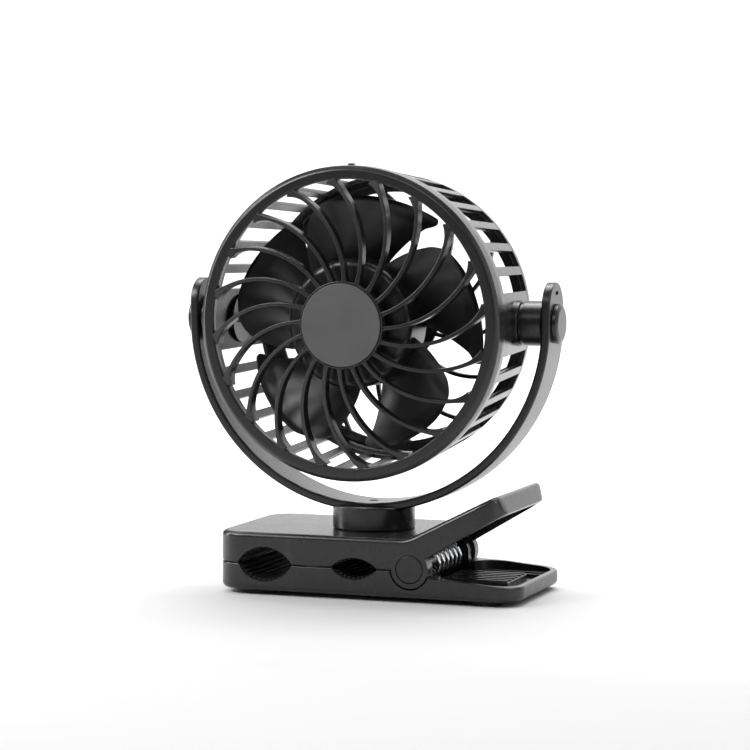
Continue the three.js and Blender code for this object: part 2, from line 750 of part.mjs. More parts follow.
// A coil round the hinge pin with one leg down on the tray and one up under the handle.
function torsionSpring() {
  const wire = 1;
  const coilR = 7.6;
  const turns = 6.5;
  const halfLength = 22;
  const stepsPerTurn = 10;
  const steps = turns * stepsPerTurn;
  const path = [new THREE.Vector3(24, -halfLength, -9.4), new THREE.Vector3(6, -halfLength, -coilR - 0.3)];
  for (let i = 0; i <= steps; i++) {
    const a = rad(-90) - (2 * Math.PI * i) / stepsPerTurn;
    const y = -halfLength + (2 * halfLength * i) / steps;
    path.push(new THREE.Vector3(coilR * Math.cos(a), y, coilR * Math.sin(a)));
  }
  path.push(new THREE.Vector3(5, halfLength, coilR + 1.2), new THREE.Vector3(22, halfLength, 21.6));
  const rings = path.map((p, i) => {
    const next = path[Math.min(i + 1, path.length - 1)];
    const ahead = next.clone().sub(path[Math.max(i - 1, 0)]).normalize();
    const side = new THREE.Vector3().crossVectors(ahead, new THREE.Vector3(0, 1, 0)).normalize();
    const up = new THREE.Vector3().crossVectors(ahead, side).normalize();
    return Array.from({ length: 5 }, (_, k) => {
      const a = (2 * Math.PI * k) / 5;
      return p.clone().addScaledVector(side, wire * Math.cos(a)).addScaledVector(up, wire * Math.sin(a));
    });
  });
  return loft(rings).translate(HINGE_X, 0, HINGE_Z);
}

// ---------------------------------------------------------------- assembly
const head = new THREE.Group();
head.position.z = PIVOT_HEIGHT;
head.add(
  mesh("front_grille", "black_plastic", frontGrille()),
  mesh("hub_cap", "hub_plastic", hubCap()),
  mesh("rear_housing", "black_plastic", rearHousing()),
  mesh("motor_can", "steel", motorCan()),
  mesh("motor_end_cap", "nylon", motorEndCap()),
  mesh("motor_bearing", "steel", tube(1.8, 2.9, MOTOR_FRONT - 0.6, MOTOR_FRONT + 2.4, "y", 16)),
);

const fan = new THREE.Group();
fan.position.z = PIVOT_HEIGHT;
fan.add(
  mesh("impeller", "blade_plastic", impeller()),
  mesh("motor_shaft", "steel", rod(1.5, FAN_HUB_FRONT - 1.5, MOTOR_BACK + 3, "y", 12)),
  mesh("motor_armature", "steel", tube(1.5 + GAP, 11.5, MOTOR_FRONT + 5, MOTOR_BACK - 4, "y", 20)),
  mesh(
    "impeller_nut",
    "steel",
    tube(1.5 + GAP, 3.6, FAN_HUB_FRONT - 2.6 - GAP, FAN_HUB_FRONT - GAP, "y", 6),
  ),
);

const yoke = new THREE.Group();
yoke.position.z = PIVOT_HEIGHT;
yoke.add(mesh("yoke_frame", "black_plastic", yokeFrame()));
for (const [word, side] of [["left", -1], ["right", 1]]) {
  yoke.add(
    mesh("pivot_spacer_" + word, "black_plastic", pivotSpacer(side)),
    mesh("tilt_screw_" + word, "steel", tiltScrew(side)),
    mesh("yoke_cap_" + word, "black_plastic", yokeCap(side)),
  );
}
const swivel = new THREE.Group();
swivel.add(
  mesh("swivel_column", "black_plastic", swivelColumn()),
  mesh("swivel_glide_ring", "nylon", tube(10, 16, CLIP_TOP + GAP, CLIP_TOP + 1.5, "z", 24)),
  mesh("swivel_washer", "steel", tube(2.2 + GAP, 11, CLIP_TOP - 4, CLIP_TOP - 2.9, "z", 20)),
  mesh(
    "swivel_screw",
    "steel",
    turned(
      [
        [0, CLIP_TOP - 6],
        [4.4, CLIP_TOP - 6],
        [4.4, CLIP_TOP - 4.3],
        [2.2, CLIP_TOP - 4.3],
        [2.2, COLUMN_TOP + 0.6],
        [0, COLUMN_TOP + 0.6],
      ],
      "z",
      14,
    ),
  ),
);

function ledLens() {
  return rod(LED.r, CLIP_HALF_W - 3.4, CLIP_HALF_W, "y", 12).translate(LED.x, 0, LED.z);
}

const upperClip = new THREE.Group();
upperClip.add(
  mesh("upper_jaw", "black_plastic", upperJaw()),
  mesh("upper_jaw_cover", "black_plastic", jawCover()),
  mesh("upper_pad_large", "rubber", gripPad(GROOVES.large, 1)),
  mesh("upper_pad_small", "rubber", gripPad(GROOVES.small, 1)),
  mesh("led_lens", "led_lens", ledLens()),
  mesh("control_board", "board_green", block(-18, 35.6, 24.1, 14.8, 1.6, 9.6)),
  mesh("usb_socket", "steel", block(PORT.x, 38.9, PORT.z, PORT.w - 0.8, 4.4, PORT.h - 0.6)),
);
for (const [word, side] of [["front", -1], ["back", 1]]) {
  const cell = block(-3, side * 22, 27.5, 44, 17, 3.2);
  upperClip.add(mesh("battery_cell_" + word, "battery_foil", cell));
}

const button = new THREE.Group();
const buttonCap = rod(BUTTON.r, CLIP_HALF_W - 1.8, CLIP_HALF_W + 1.2, "y", 20);
const buttonStem = rod(1.6, CLIP_HALF_W - 4, CLIP_HALF_W - 1.6, "y", 10);
const buttonShape = join(buttonCap, buttonStem).translate(BUTTON.x, 0, BUTTON.z);
button.add(mesh("power_button", "button_plastic", buttonShape));

const base = new THREE.Group();
base.add(
  mesh("lower_jaw", "black_plastic", lowerJaw()),
  mesh("base_plate", "black_plastic", basePlate()),
  mesh("lower_pad_large", "rubber", gripPad(GROOVES.large, -1)),
  mesh("lower_pad_small", "rubber", gripPad(GROOVES.small, -1)),
  mesh("hinge_pin", "steel", rod(PIN_R, -39.8, 39.8, "y", 14).translate(HINGE_X, 0, HINGE_Z)),
  mesh("torsion_spring", "spring_steel", torsionSpring()),
);
for (const [word, side] of [["front", -1], ["back", 1]]) {
  const cap = turned(
    [
      [0, side * (CLIP_HALF_W - 2 + GAP)],
      [HINGE_CAP_R, side * (CLIP_HALF_W - 2 + GAP)],
      [HINGE_CAP_R, side * CLIP_HALF_W],
      [0, side * CLIP_HALF_W],
    ],
    "y",
    24,
  );
  base.add(mesh("hinge_cap_" + word, "black_plastic", cap.translate(HINGE_X, 0, HINGE_Z)));
}
FEET.forEach(([x, y], i) => {
  const foot = turned(
    [[0, 0], [FOOT_R - 0.6, 0], [FOOT_R, 0.6], [FOOT_R, CLIP_BOTTOM - GAP], [0, CLIP_BOTTOM - GAP]],
    "z",
    20,
  );
  base.add(mesh("rubber_foot_" + (i + 1), "rubber", foot.translate(x, y, 0)));
});

const fanOnClip = new THREE.Group();
fanOnClip.position.y = Y_SHIFT;
fanOnClip.add(base, upperClip, button, swivel, yoke, head, fan);

export default fanOnClip;
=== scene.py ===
"""Looks of a clip-on desk fan: grille, drum, impeller, yoke, column and sprung clip.

Lengths in the shape functions are millimetres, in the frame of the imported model. emit() turns them
into metres. Lights, floor and camera are in metres.
"""

import json
import math

import bmesh
import bpy
from mathutils import Matrix, Vector


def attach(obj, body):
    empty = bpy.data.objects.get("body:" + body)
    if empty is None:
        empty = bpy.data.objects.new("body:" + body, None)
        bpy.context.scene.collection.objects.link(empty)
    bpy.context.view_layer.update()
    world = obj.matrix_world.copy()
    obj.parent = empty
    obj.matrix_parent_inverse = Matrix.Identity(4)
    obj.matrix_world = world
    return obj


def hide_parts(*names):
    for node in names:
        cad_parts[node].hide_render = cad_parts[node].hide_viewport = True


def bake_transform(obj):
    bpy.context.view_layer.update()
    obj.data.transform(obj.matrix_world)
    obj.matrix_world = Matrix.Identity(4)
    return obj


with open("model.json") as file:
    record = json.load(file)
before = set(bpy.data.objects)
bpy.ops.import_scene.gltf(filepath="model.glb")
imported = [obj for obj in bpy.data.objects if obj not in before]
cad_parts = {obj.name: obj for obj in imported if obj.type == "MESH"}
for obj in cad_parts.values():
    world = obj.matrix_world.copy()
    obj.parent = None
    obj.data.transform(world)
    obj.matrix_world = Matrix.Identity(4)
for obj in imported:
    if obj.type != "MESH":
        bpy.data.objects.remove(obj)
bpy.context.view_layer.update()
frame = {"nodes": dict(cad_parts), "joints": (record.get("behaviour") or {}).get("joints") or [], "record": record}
JOINTS = {j["name"]: j for j in frame["joints"]}
PIVOT = Vector(JOINTS["head_tilt"]["pos_m"]) * 1000
HINGE = Vector(JOINTS["clip_open"]["pos_m"]) * 1000
CENTRE_Y = PIVOT.y
HEAD = Vector((0, CENTRE_Y, PIVOT.z))
BASE = Vector((0, CENTRE_Y, 0))

# head, from the point where the tilt axis crosses the fan's axis
HEAD_R = 80
RIM_INNER_R = 73
RIM_FRONT = -40.5
RIM_BACK = -31.2
BACK_R = 75.1
BACK = 36
WALL = 2.4
RIB_COUNT = 20
REAR_RIB_COUNT = 12
RIB_PHASE = 7.2
RIB_SWEEP = 28.5
RIB_BOW = 8.6
HUB_CAP_R = 21.5
HUB_FRONT = -49
SLAT_PITCH = 10
SLAT_OPEN = 6.5
SLAT_FRONT = -24
SLAT_BACK = 27
BOSS_R = 11.5
BOSS_END = 80.4
GAP = 0.3

# impeller
BLADES = 5
BLADE_TIP_R = 65
BLADE_FRONT = -30
BLADE_DEPTH = 20
FAN_HUB_R = 33
FAN_HUB_FRONT = -38.5
MOTOR_R = 15

# yoke and column
YOKE_INNER_R = 93.7
YOKE_OUTER_R = 98.2
YOKE_HALF_DEPTH = 13
ARM_TOP = 21
CAP_R = 10.2
CAP_FACE = 101.2
COLUMN_R = 21.4
COLUMN_TOP = 44.6
SPIGOT_R = 7.5

# clip
CLIP_TOP = 32.3
CLIP_BOTTOM = 2.4
PARTING = 16.3
HALF_W = 42
CLIP_CORNER = 14
JAW_TIP = -72.5
TRAY_END = 90.5
SIDE_WALL = 2.6
TOP_WALL = 2.6
HINGE_X = HINGE.x
HINGE_Z = HINGE.z
BARREL_R = 9.8
RECESS_R = 10.6
PIN_R = 2.5
HINGE_CAP_R = 7
HANDLE_START = 32.4
HANDLE_SLOPE = math.tan(math.radians(27))
HANDLE_TIP = 78.6
HANDLE_END = 82.2
FOOT_R = 9
FEET = ((-52, -29), (-52, 29), (71, -29), (71, 29))
LARGE = {"x": -44.6, "half": 14.9, "up": 8.6, "down": 8.8}
SMALL = {"x": 4.2, "half": 12.4, "up": 5.2, "down": 5.6}
RIDGE_PITCH = 2.7
SEAT_DEPTH = 2.2
COVER_THICK = 1.6
BAY_END = 21.6
BUTTON = {"x": -22.5, "z": 23.6, "r": 4.2}
PORT = {"x": -12.8, "z": 22.6, "w": 9.4, "h": 3.6}
LED = {"x": -12.8, "z": 27.4, "r": 1}
TRAY_START = 45.4
TRAY_FLOOR = 6.4
KNUCKLE_START = 36
EAR = (29.5, 35.7)
EAR_R = 8.2
SPRING_WIRE_R = 1.0
SPRING_R = 7.6
SPRING_HALF = 22
SPRING_TURNS = 6.5

# setting, in metres and degrees
FLOOR_HALF_WIDTH = 3.0
FLOOR_FRONT = -4.0
FLOOR_BEND = 1.6
BEND_R = 1.2
WALL_TOP = 4.0
WORLD_STRENGTH = 0.15
PAPER_GREY = 0.58
LENS = 133.57
EYE = (0.49177, -1.35127, 0.2186)
EYE_AZIMUTH = 19.98
EYE_TILT = -4.256


# ---------------------------------------------------------------- shapes: a part is (points, faces)
def rounded(turns, steps=6):
    """A closed outline whose corners (x, y, radius) are arcs."""
    points = []
    for i, turn in enumerate(turns):
        here = Vector(turn[:2])
        radius = turn[2] if len(turn) > 2 else 0
        if not radius:
            points.append(tuple(here))
            continue
        back = (Vector(turns[i - 1][:2]) - here).normalized()
        ahead = (Vector(turns[(i + 1) % len(turns)][:2]) - here).normalized()
        half = math.acos(max(-1, min(1, back.dot(ahead)))) / 2
        middle = here + (back + ahead).normalized() * (radius / math.sin(half))
        start = here + back * (radius / math.tan(half)) - middle
        turn_by = math.pi - 2 * half
        if back.x * ahead.y - back.y * ahead.x > 0:
            turn_by = -turn_by
        for s in range(steps + 1):
            a = math.atan2(start.y, start.x) + turn_by * s / steps
            points.append((middle.x + radius * math.cos(a), middle.y + radius * math.sin(a)))
    return points


def arc(cx, cy, radius, start, end, steps):
    angles = [math.radians(start + (end - start) * s / steps) for s in range(steps + 1)]
    return [(cx + radius * math.cos(a), cy + radius * math.sin(a)) for a in angles]


def skin(rings, closed=False):
    """Closed skin over rings of equal length; the ends are filled unless the rings close on themselves."""
    n = len(rings[0])
    points = [tuple(p) for ring in rings for p in ring]
    faces = []
    last = len(rings) if closed else len(rings) - 1
    for r in range(last):
        for i in range(n):
            a, b = r * n + i, r * n + (i + 1) % n
            c, d = ((r + 1) % len(rings)) * n + (i + 1) % n, ((r + 1) % len(rings)) * n + i
            faces.append((a, b, c, d))
    if not closed:
        faces.append(tuple(range(n)))
        faces.append(tuple(range((len(rings) - 1) * n, len(rings) * n)))
    return points, faces


AXES = {
    "x": lambda r, h, a: (h, r * math.cos(a), r * math.sin(a)),
    "y": lambda r, h, a: (r * math.cos(a), h, r * math.sin(a)),
    "z": lambda r, h, a: (r * math.cos(a), r * math.sin(a), h),
}


def lathe(profile, axis="y", segments=96):
    """A closed profile of (radius, distance along the axis, rounding) turned about an axis."""
    outline = rounded(profile, 4)
    place = AXES[axis]
    rings = [[place(r, h, 2 * math.pi * s / segments) for r, h in outline] for s in range(segments)]
    return skin(rings, closed=True)


def disc(radius, start, end, axis, segments=48, edge=0.0):
    return lathe([(0, start), (radius, start, edge), (radius, end, edge), (0, end)], axis, segments)


def prism(outline, axis, start, end):
    """An outline extruded along y (outline in x, z), z (in x, y) or x (in y, z)."""
    place = {
        "y": lambda u, v, h: (u, h, v),
        "z": lambda u, v, h: (u, v, h),
        "x": lambda u, v, h: (h, u, v),
    }[axis]
    return skin([[place(u, v, h) for u, v in outline] for h in (start, end)])


def moved(part, x=0, y=0, z=0):
    return [(a + x, b + y, c + z) for a, b, c in part[0]], part[1]


def turned(part, axis, degrees):
    turn = Matrix.Rotation(math.radians(degrees), 3, axis.upper())
    return [tuple(turn @ Vector(p)) for p in part[0]], part[1]


def tidy_mesh(bm, merge=0.002):
    bmesh.ops.remove_doubles(bm, verts=bm.verts, dist=merge)
    bmesh.ops.dissolve_degenerate(bm, dist=merge / 2, edges=bm.edges)
    bmesh.ops.recalc_face_normals(bm, faces=bm.faces)


def to_bmesh(part):
    bm = bmesh.new()
    verts = [bm.verts.new(p) for p in part[0]]
    for face in part[1]:
        bm.faces.new([verts[i] for i in face])
    tidy_mesh(bm)
    return bm


def from_bmesh(bm):
    bm.verts.index_update()
    part = [tuple(v.co) for v in bm.verts], [tuple(v.index for v in f.verts) for f in bm.faces]
    bm.free()
    return part


def bevelled(part, width, segments=3, angle=30):
    """The part with every edge sharper than the angle rounded off."""
    bm = to_bmesh(part)
    sharp = [e for e in bm.edges if len(e.link_faces) == 2 and e.calc_face_angle(0) > math.radians(angle)]
    bmesh.ops.bevel(
        bm, geom=sharp, offset=width, segments=segments, profile=0.5, affect="EDGES", clamp_overlap=True
    )
    return from_bmesh(bm)


def bare_object(part):
    mesh = bpy.data.meshes.new("work")
    bm = to_bmesh(part)
    bm.to_mesh(mesh)
    bm.free()
    made = bpy.data.objects.new("work", mesh)
    bpy.context.scene.collection.objects.link(made)
    return made


def carved(part, *steps):
    """The part after steps of ("cut" | "join" | "keep", other part)."""
    words = {"cut": "DIFFERENCE", "join": "UNION", "keep": "INTERSECT"}
    target = bare_object(part)
    tools = []
    for word, other in steps:
        tool = bare_object(other)
        change = target.modifiers.new("step", "BOOLEAN")
        change.operation = words[word]
        change.solver = "EXACT"
        change.object = tool
        tools.append(tool)
    bpy.context.view_layer.update()
    shape = target.evaluated_get(bpy.context.evaluated_depsgraph_get()).to_mesh()
    result = [tuple(v.co) for v in shape.vertices], [tuple(p.vertices) for p in shape.polygons]
    for used in [target, *tools]:
        data = used.data
        bpy.data.objects.remove(used)
        bpy.data.meshes.remove(data)
    return result


def emit(name, parts, origin, material, body, replaces=(), crease=34):
    """One object in metres from parts in millimetres, riding on a body."""
    bm = bmesh.new()
    for part in parts:
        one = to_bmesh(part)
        piece = bpy.data.meshes.new("piece")
        one.to_mesh(piece)
        one.free()
        bm.from_mesh(piece)
        bpy.data.meshes.remove(piece)
    for v in bm.verts:
        v.co = (v.co + origin) * 0.001
    mesh = bpy.data.meshes.new(name)
    bm.to_mesh(mesh)
    bm.free()
    for face in mesh.polygons:
        face.use_smooth = True
    mesh.set_sharp_from_angle(angle=math.radians(crease))
    mesh.materials.append(material)
    made = bpy.data.objects.new(name, mesh)
    bpy.context.scene.collection.objects.link(made)
    flat = made.modifiers.new("normals", "WEIGHTED_NORMAL")
    flat.keep_sharp = True
    flat.weight = 80
    if body:
        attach(made, body)
    if replaces:
        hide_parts(*replaces)
    return made


# ---------------------------------------------------------------- materials
def node(tree, kind, **inputs):
    made = tree.nodes.new(kind)
    for key, value in inputs.items():
        made.inputs[key.replace("_", " ")].default_value = value
    return made


def ramp(tree, source, stops):
    made = tree.nodes.new("ShaderNodeValToRGB")
    tree.links.new(source, made.inputs["Fac"])
    for i, (place, value) in enumerate(stops):
        if i >= 2:
            made.color_ramp.elements.new(place)
        stop = made.color_ramp.elements[i]
        stop.position = place
        stop.color = (*value, 1) if isinstance(value, tuple) else (value, value, value, 1)
    return made.outputs["Color"]


def moulded(
    name,
    colour,
    rough,
    spread=0.05,
    grain=5200,
    bump=0.00002,
    wear=0.02,
    metallic=0.0,
    specular=0.5,
    tone=0.12,
):
    """Moulded or drawn material: fine grain, cloudy gloss, and edges rubbed a little lighter."""
    made = bpy.data.materials.new(name)
    made.use_nodes = True
    tree = made.node_tree
    shader = tree.nodes["Principled BSDF"]
    shader.inputs["Metallic"].default_value = metallic
    shader.inputs["Specular IOR Level"].default_value = specular
    place = tree.nodes.new("ShaderNodeTexCoord")
    cloud = node(tree, "ShaderNodeTexNoise", Scale=38.0, Detail=4.0, Roughness=0.55)
    fine = node(tree, "ShaderNodeTexNoise", Scale=grain, Detail=2.0, Roughness=0.6)
    for texture in (cloud, fine):
        tree.links.new(place.outputs["Object"], texture.inputs["Vector"])
    low = tuple(c * (1 - tone) for c in colour)
    high = tuple(min(1, c * (1 + tone)) for c in colour)
    base = ramp(tree, cloud.outputs["Fac"], [(0.3, low), (0.7, high)])
    edge = tree.nodes.new("ShaderNodeNewGeometry")
    worn = ramp(tree, edge.outputs["Pointiness"], [(0.52, 0.0), (0.6, 1.0)])
    rub = node(tree, "ShaderNodeMix")
    rub.data_type = "RGBA"
    rub.blend_type = "ADD"
    tree.links.new(base, rub.inputs["A"])
    rub.inputs["B"].default_value = (wear, wear, wear, 1)
    tree.links.new(worn, rub.inputs["Factor"])
    tree.links.new(rub.outputs["Result"], shader.inputs["Base Color"])
    gloss = node(tree, "ShaderNodeMapRange")
    gloss.inputs["To Min"].default_value = rough - spread
    gloss.inputs["To Max"].default_value = rough + spread
    blend = node(tree, "ShaderNodeMath")
    blend.operation = "MULTIPLY_ADD"
    tree.links.new(fine.outputs["Fac"], blend.inputs[0])
    blend.inputs[1].default_value = 0.4
    share = node(tree, "ShaderNodeMath")
    share.operation = "MULTIPLY"
    tree.links.new(cloud.outputs["Fac"], share.inputs[0])
    share.inputs[1].default_value = 0.6
    tree.links.new(share.outputs[0], blend.inputs[2])
    tree.links.new(blend.outputs[0], gloss.inputs["Value"])
    tree.links.new(gloss.outputs["Result"], shader.inputs["Roughness"])
    relief = node(tree, "ShaderNodeBump", Strength=0.35, Distance=bump)
    tree.links.new(fine.outputs["Fac"], relief.inputs["Height"])
    tree.links.new(relief.outputs["Normal"], shader.inputs["Normal"])
    return made


LOOKS = {
    "black_plastic": moulded("black_plastic", (0.013, 0.013, 0.014), 0.27, wear=0.008),
    "hub_plastic": moulded("hub_plastic", (0.085, 0.085, 0.087), 0.6, bump=0.00004, specular=0.35),
    "blade_plastic": moulded("blade_plastic", (0.009, 0.009, 0.01), 0.3, wear=0.004),
    "rubber": moulded(
        "rubber", (0.014, 0.014, 0.014), 0.72, grain=3800, bump=0.00005, wear=0.008, specular=0.3
    ),
    "spring_steel": moulded("spring_steel", (0.80, 0.81, 0.82), 0.12, spread=0.04, wear=0.0, metallic=1.0),
    "steel": moulded("steel", (0.52, 0.53, 0.54), 0.3, spread=0.08, wear=0.03, metallic=1.0),
    "nylon": moulded("nylon", (0.68, 0.67, 0.61), 0.5),
    "battery_foil": moulded("battery_foil", (0.50, 0.53, 0.56), 0.35, spread=0.1, metallic=0.8),
    "board_green": moulded("board_green", (0.02, 0.12, 0.05), 0.4),
    "button_plastic": moulded("button_plastic", (0.045, 0.046, 0.048), 0.4),
    "led_lens": moulded("led_lens", (0.75, 0.8, 0.82), 0.18),
}
BLACK = LOOKS["black_plastic"]


# ---------------------------------------------------------------- head
def rib_point(share, inner_r, outer_r, offset):
    """A point of a curved rib: an arc in the x, z plane from the hub to the rim."""
    start = Vector((inner_r, 0))
    sweep = math.radians(RIB_SWEEP)
    end = Vector((outer_r * math.cos(sweep), outer_r * math.sin(sweep)))
    chord = end - start
    half = chord.length / 2
    radius = (half * half + RIB_BOW * RIB_BOW) / (2 * RIB_BOW)
    side = Vector((chord.y, -chord.x)).normalized()
    middle = (start + end) / 2 + side * (RIB_BOW - radius)
    a0 = math.atan2(start.y - middle.y, start.x - middle.x)
    a1 = math.atan2(end.y - middle.y, end.x - middle.x)
    swing = (a1 - a0 + math.pi) % (2 * math.pi) - math.pi
    a = a0 + swing * share
    return middle.x + (radius + offset) * math.cos(a), middle.y + (radius + offset) * math.sin(a)


def rib(inner_r, outer_r, front, back, left, right, steps, edge):
    """A curved vane with rounded edges; left and right are its widths each side of the arc."""
    rings = []
    for s in range(steps + 1):
        t = s / steps
        outline = rounded(
            [
                (left(t), front(t), edge),
                (-right(t), front(t), edge),
                (-right(t), back(t), edge * 0.6),
                (left(t), back(t), edge * 0.6),
            ],
            3,
        )
        ring = []
        for offset, y in outline:
            x, z = rib_point(t, inner_r, outer_r, offset)
            ring.append((x, y, z))
        rings.append(ring)
    return skin(rings)


def grille_front(t):
    return HUB_FRONT + 0.7 + (RIM_FRONT - HUB_FRONT - 0.4) * t**1.5


def front_grille():
    ring = lathe(
        [
            (RIM_INNER_R, RIM_FRONT, 0.8),
            (HEAD_R - 2.2, RIM_FRONT, 2.2),
            (HEAD_R, RIM_FRONT + 2.0, 1.0),
            (HEAD_R, RIM_BACK, 0.4),
            (HEAD_R - WALL, RIM_BACK, 0.3),
            (HEAD_R - WALL, RIM_FRONT + 4, 0.3),
            (RIM_INNER_R, RIM_FRONT + 4, 0.8),
        ],
        "y",
        160,
    )
    hub = lathe(
        [
            (0, HUB_FRONT + 1.6),
            (HUB_CAP_R - 0.2, HUB_FRONT + 1.6),
            (HUB_CAP_R - 0.2, HUB_FRONT, 0.2),
            (HUB_CAP_R + 0.6, HUB_FRONT, 0.35),
            (HUB_CAP_R + 0.6, HUB_FRONT + 5.5, 0.4),
            (HUB_CAP_R - 1.4, HUB_FRONT + 5.5, 0.4),
            (HUB_CAP_R - 1.4, HUB_FRONT + 3.2),
            (0, HUB_FRONT + 3.2),
        ],
        "y",
        120,
    )

    def flare(reach):
        return lambda t: 1.0 + reach * max(0, (t - 0.82) / 0.18) ** 2 + 0.5 * max(0, (0.08 - t) / 0.08) ** 2

    one = rib(
        HUB_CAP_R,
        RIM_INNER_R + 1,
        grille_front,
        lambda t: grille_front(t) + 5 + 2.4 * t,
        flare(1.2),
        flare(2.4),
        30,
        0.5,
    )
    bars = [turned(one, "y", -(RIB_PHASE - RIB_SWEEP + 360 / RIB_COUNT * i)) for i in range(RIB_COUNT)]
    tab = [(-1.6, HEAD_R - 1), (1.6, HEAD_R - 1), (1.6, HEAD_R + 1), (-1.6, HEAD_R + 1)]
    latch = bevelled(prism(tab, "y", RIM_BACK - 3.5, RIM_BACK - 0.5), 0.4)
    pieces = [ring, hub, latch, *bars]
    emit("front_grille_look", pieces, HEAD, BLACK, "head", ["front_grille"])
    cap = lathe(
        [
            (0, HUB_FRONT + 1.3),
            (HUB_CAP_R - 0.5, HUB_FRONT + 1.3),
            (HUB_CAP_R - 0.5, HUB_FRONT - 0.6, 0.35),
            (0, HUB_FRONT - 0.6),
        ],
        "y",
        120,
    )
    emit("hub_cap_look", [cap], HEAD, LOOKS["hub_plastic"], "head", ["hub_cap"])


def wall_radius(y):
    """Outer radius of the drum's tapering wall."""
    front = RIM_BACK + GAP
    return HEAD_R - 0.2 + (BACK_R - HEAD_R + 0.2) * (y - front) / (BACK - 5 - front)


def slat(centre, half_angle):
    """One bar of the drum's wall, with rounded edges, between the front and the back band."""
    rings = []
    for s in range(5):
        y = SLAT_FRONT - 1.5 + (SLAT_BACK - SLAT_FRONT + 3) * s / 4
        outer = wall_radius(y) - 0.05
        half = outer * math.sin(math.radians(half_angle))
        steps = max(1, round(half_angle / 2))
        face = [(-half + 2 * half * k / steps) for k in range(steps + 1)]
        outline = [(u, math.sqrt(outer * outer - u * u)) for u in face]
        inner = outer - WALL + 0.1
        outline += [
            (u * inner / outer, math.sqrt(outer * outer - u * u) * inner / outer) for u in reversed(face)
        ]
        rings.append([(v, y, u) for u, v in outline])
    return turned(bevelled(skin(rings), 0.35, 2, 40), "y", centre)


def rear_housing():
    front = RIM_BACK + GAP
    front_r = HEAD_R - 0.2
    band = lathe(
        [
            (front_r - WALL, front, 0.3),
            (front_r, front, 0.4),
            (wall_radius(SLAT_FRONT), SLAT_FRONT, 0.4),
            (wall_radius(SLAT_FRONT) - WALL, SLAT_FRONT, 0.4),
        ],
        "y",
        160,
    )
    back_band = lathe(
        [
            (wall_radius(SLAT_BACK) - WALL, SLAT_BACK, 0.4),
            (wall_radius(SLAT_BACK), SLAT_BACK, 0.4),
            (BACK_R, BACK - 5),
            (BACK_R - 0.5, BACK, 5.0),
            (66, BACK, 0.5),
            (66, BACK - WALL, 0.5),
            (BACK_R - 4.4, BACK - WALL, 1.5),
            (BACK_R - WALL, BACK - 5),
        ],
        "y",
        160,
    )
    bars = []
    a = 0
    while a < 360:
        if a % 180 == 0:
            bars.append(slat(a, SLAT_PITCH + (SLAT_PITCH - SLAT_OPEN) / 2))
        elif a % 180 not in (SLAT_PITCH, 180 - SLAT_PITCH):
            bars.append(slat(a, (SLAT_PITCH - SLAT_OPEN) / 2))
        a += SLAT_PITCH
    seat = lathe(
        [
            (MOTOR_R + GAP, 6, 0.4),
            (MOTOR_R + GAP + 2.2, 6, 0.8),
            (MOTOR_R + GAP + 2.2, BACK - 4, 1.0),
            (24, BACK - 3, 0.4),
            (24, BACK, 1.2),
            (0, BACK),
            (0, BACK - 2.4),
            (MOTOR_R + GAP, BACK - 2.4),
        ],
        "y",
        96,
    )
    one = rib(22, 67, lambda t: BACK - 3.4, lambda t: BACK - 0.4, lambda t: 1.1, lambda t: 1.1, 20, 0.5)
    spokes = [
        turned(one, "y", -(RIB_PHASE - RIB_SWEEP + 360 / REAR_RIB_COUNT * i)) for i in range(REAR_RIB_COUNT)
    ]
    bosses = [
        lathe(
            [
                (PIN_R + GAP, side * 73.5),
                (BOSS_R + 1.2, side * 73.5),
                (BOSS_R, side * 77.6, 1.0),
                (BOSS_R, side * BOSS_END, 0.5),
                (PIN_R + GAP, side * BOSS_END, 0.2),
            ],
            "x",
            72,
        )
        for side in (-1, 1)
    ]
    emit(
        "rear_housing_look",
        [band, back_band, seat, *bars, *spokes, *bosses],
        HEAD,
        BLACK,
        "head",
        ["rear_housing"],
    )


def blade():
    """A swept blade: both edges curve back as they go out, and the left edge stands in front."""
    stations = [
        (FAN_HUB_R - 1.6, -10, 65),
        (46, -20.5, 62),
        (57, -28.5, 59),
        (62.5, -34.5, 58),
        (BLADE_TIP_R, -42.5, 52),
    ]
    rings = []
    rows = 26
    chord = 18
    for s in range(rows + 1):
        share = s / rows
        r = FAN_HUB_R - 1.6 + (BLADE_TIP_R - FAN_HUB_R + 1.6) * (1 - (1 - share) ** 1.6)
        for (r0, a0, w0), (r1, a1, w1) in zip(stations, stations[1:]):
            if r <= r1 + 1e-6:
                f = (r - r0) / (r1 - r0)
                lead, width = a0 + (a1 - a0) * f, w0 + (w1 - w0) * f
                break
        near_tip = max(0, (r - 58) / (BLADE_TIP_R - 58))
        pinch = 4.5 * near_tip**3
        lead, width = lead - pinch, width - 2 * pinch
        thick = 0.75

        def row(side):
            points = []
            for i in range(chord + 1):
                t = i / chord
                a = math.radians(lead - width * t)
                lift = thick * side * min(1, 2.2 * math.sqrt(max(0, t * (1 - t))) + 0.05)
                y = BLADE_FRONT + BLADE_DEPTH * t - 2.2 * math.sin(math.pi * t) + lift
                points.append((r * math.cos(a), y, r * math.sin(a)))
            return points

        rings.append([*row(-1), *reversed(row(1))])
    return skin(rings)


